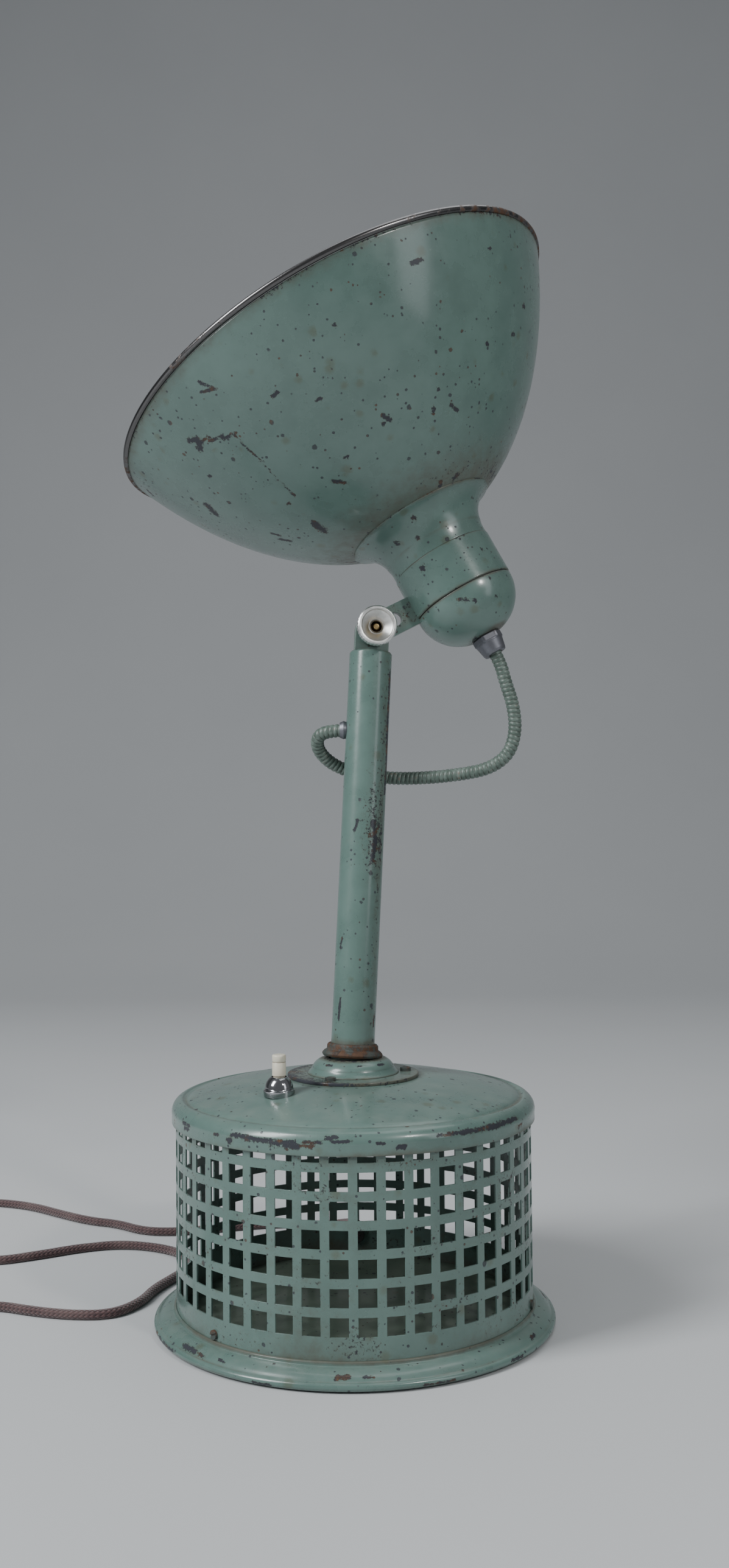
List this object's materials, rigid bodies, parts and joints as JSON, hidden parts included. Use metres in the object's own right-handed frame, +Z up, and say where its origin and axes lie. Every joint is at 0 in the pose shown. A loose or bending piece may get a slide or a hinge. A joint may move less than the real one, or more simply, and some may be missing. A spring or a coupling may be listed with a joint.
{
  "type": "tilting reflector table lamp",
  "caption": "Table lamp with a perforated drum base, leaning post, clamp-knob pivot, deep bowl reflector, flexible conduit and cloth mains cord.",
  "frame": {"origin": "centre of the round base on the surface it stands on", "axes": "+Z up, out of the base; -Y is the side with the clamp knob and push button; +X is the side the post leans to"},
  "size_m": [0.4508, 0.4131, 0.6493],
  "materials": {
    "green_paint": "semi-gloss sage green enamel, chipped and rusty at the edges",
    "green_paint_inside": "same enamel, duller and dusty",
    "zinc": "dull zinc-plated steel",
    "rusty_steel": "plain steel gone brown with rust",
    "bare_rim": "worn bare steel rim",
    "chrome": "bright chrome",
    "aluminium": "turned aluminium",
    "ivory": "aged ivory plastic",
    "black_rubber": "black rubber",
    "conduit_sleeve": "grey-green flexible sleeve",
    "cord_cloth": "dark brown braided cloth",
    "bakelite": "dark brown moulded plastic",
    "brass": "brass",
    "porcelain": "off-white porcelain",
    "glass": "frosted bulb glass",
    "felt": "dark felt"
  },
  "bodies": {
    "base": {"foot_skirt": "green_paint", "base_cover": "green_paint", "floor_plate": "green_paint_inside", "drum_panel_01": "green_paint", "drum_panel_02": "green_paint", "drum_panel_03": "green_paint", "drum_panel_04": "green_paint", "drum_panel_05": "green_paint", "drum_panel_06": "green_paint", "drum_panel_07": "green_paint", "drum_panel_08": "green_paint", "drum_panel_09": "green_paint", "drum_panel_10": "green_paint", "drum_panel_11": "green_paint", "centre_pad": "felt", "foot_pad_1": "black_rubber", "foot_pad_2": "black_rubber", "foot_pad_3": "black_rubber", "skirt_screw_1": "rusty_steel", "skirt_screw_2": "rusty_steel", "skirt_screw_3": "rusty_steel", "switch_dome_nut": "chrome", "switch_body": "bakelite", "flange_screw_1": "rusty_steel", "flange_screw_2": "rusty_steel", "flange_screw_3": "rusty_steel", "post_flange": "green_paint", "post_hub": "green_paint", "hub_collar": "rusty_steel", "post_tube": "green_paint", "post_lock_nut": "zinc", "post_nipple": "zinc", "post_ear": "green_paint", "pivot_bolt": "brass", "knob_washer": "zinc", "conduit": "conduit_sleeve", "conduit_bushing": "black_rubber", "mains_cord": "cord_cloth", "cord_coil": "cord_cloth", "cord_tail": "cord_cloth", "cord_tie": "black_rubber", "plug_body": "bakelite", "plug_pin_1": "brass", "plug_pin_2": "brass", "cord_grommet": "black_rubber"},
    "head": {"head_arm": "green_paint", "neck_housing": "green_paint", "bowl_fitter": "green_paint", "bowl": "green_paint", "bowl_rim_bead": "bare_rim", "neck_end_cap": "green_paint", "cap_spigot_ring": "zinc", "cable_gland": "zinc", "lamp_holder": "porcelain", "lamp_holder_plate": "zinc", "bulb_screw_base": "brass", "bulb_glass": "glass"},
    "knob": {"clamp_knob": "aluminium"},
    "button": {"switch_button": "ivory"}
  },
  "joints": [
    {"name": "head_tilt", "type": "hinge", "parent": "base", "child": "head", "pos_m": [0.01366, 0.01518, 0.40916], "axis": [-0.1423, 0.9884, -0.0526], "range_deg": [-75, 30], "deforming": ["conduit"]},
    {"name": "knob_turn", "type": "hinge", "parent": "base", "child": "knob", "pos_m": [0.01366, 0.01518, 0.40916], "axis": [-0.1423, 0.9884, -0.0526], "range_deg": [-90, 180]},
    {"name": "button_press", "type": "slide", "parent": "base", "child": "button", "axis": [0, 0, -1], "range_m": [0, 0.0035], "stiffness_N_per_m": 300}
  ]
}
